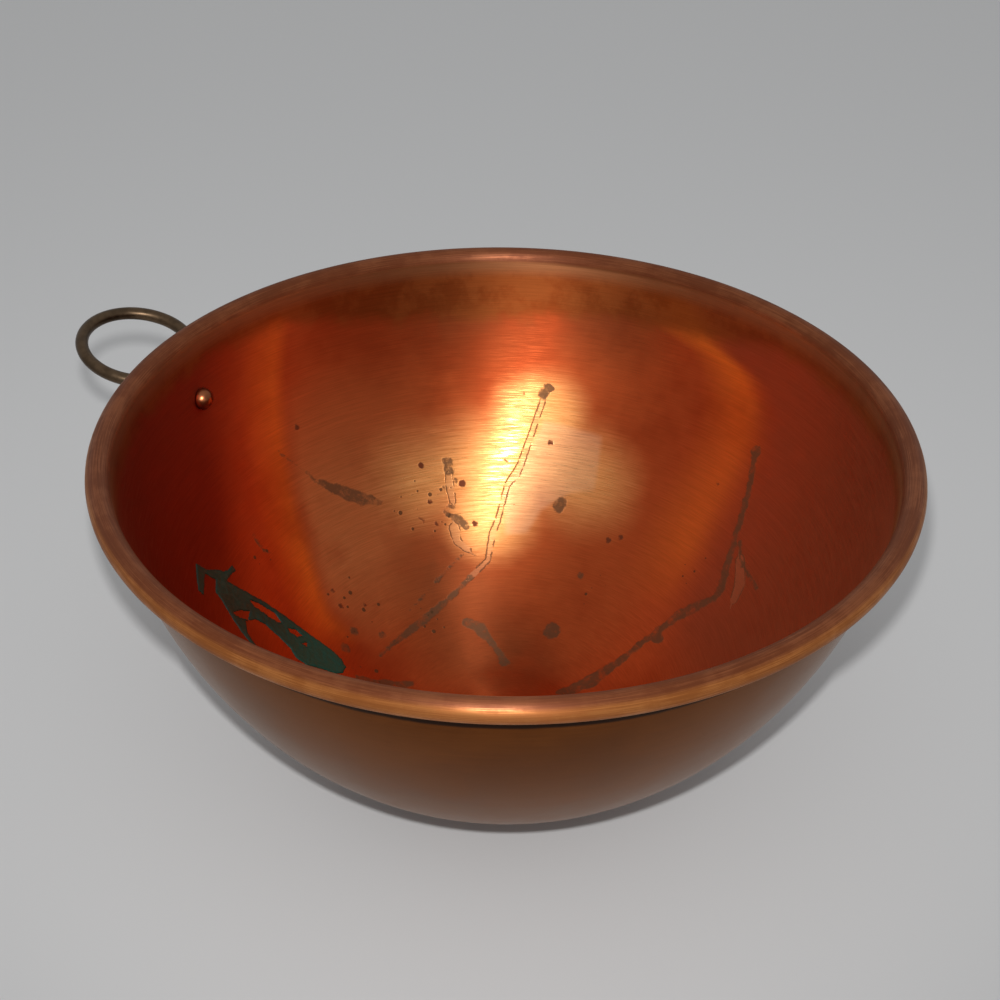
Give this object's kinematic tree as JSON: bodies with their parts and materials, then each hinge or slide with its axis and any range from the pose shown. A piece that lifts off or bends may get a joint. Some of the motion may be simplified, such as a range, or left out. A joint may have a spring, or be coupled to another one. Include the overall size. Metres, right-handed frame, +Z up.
{
  "type": "mixing bowl",
  "caption": "Deep round-bottomed mixing bowl of spun sheet with an outward rolled rim and a hanging ring on a riveted strap.",
  "frame": {"origin": "on the bowl's axis, on the plane that the flat base rests on", "axes": "+Z up along the bowl's axis; -X towards the hanging ring, so the XZ plane is the plane of symmetry"},
  "size_m": [0.3461, 0.305, 0.1414],
  "materials": {
    "brushed_copper": "satin, brushed round the bowl, tarnished",
    "rim_steel": "dull drawn wire",
    "strap_brass": "dark, aged",
    "rivet_copper": "rubbed bright",
    "ring_brass": "dark, aged, satin"
  },
  "bodies": {
    "bowl": {"bowl_shell": "brushed_copper", "rim_wire": "rim_steel", "ring_strap": "strap_brass", "rivet": "rivet_copper", "rivet_washer": "rivet_copper"},
    "ring": {"hanging_ring": "ring_brass"}
  },
  "joints": [
    {"name": "ring_swing", "type": "hinge", "parent": "bowl", "child": "ring", "pos_m": [-0.14765, 0, 0.12514], "axis": [0, -1, 0], "range_deg": [-42, 120]}
  ]
}
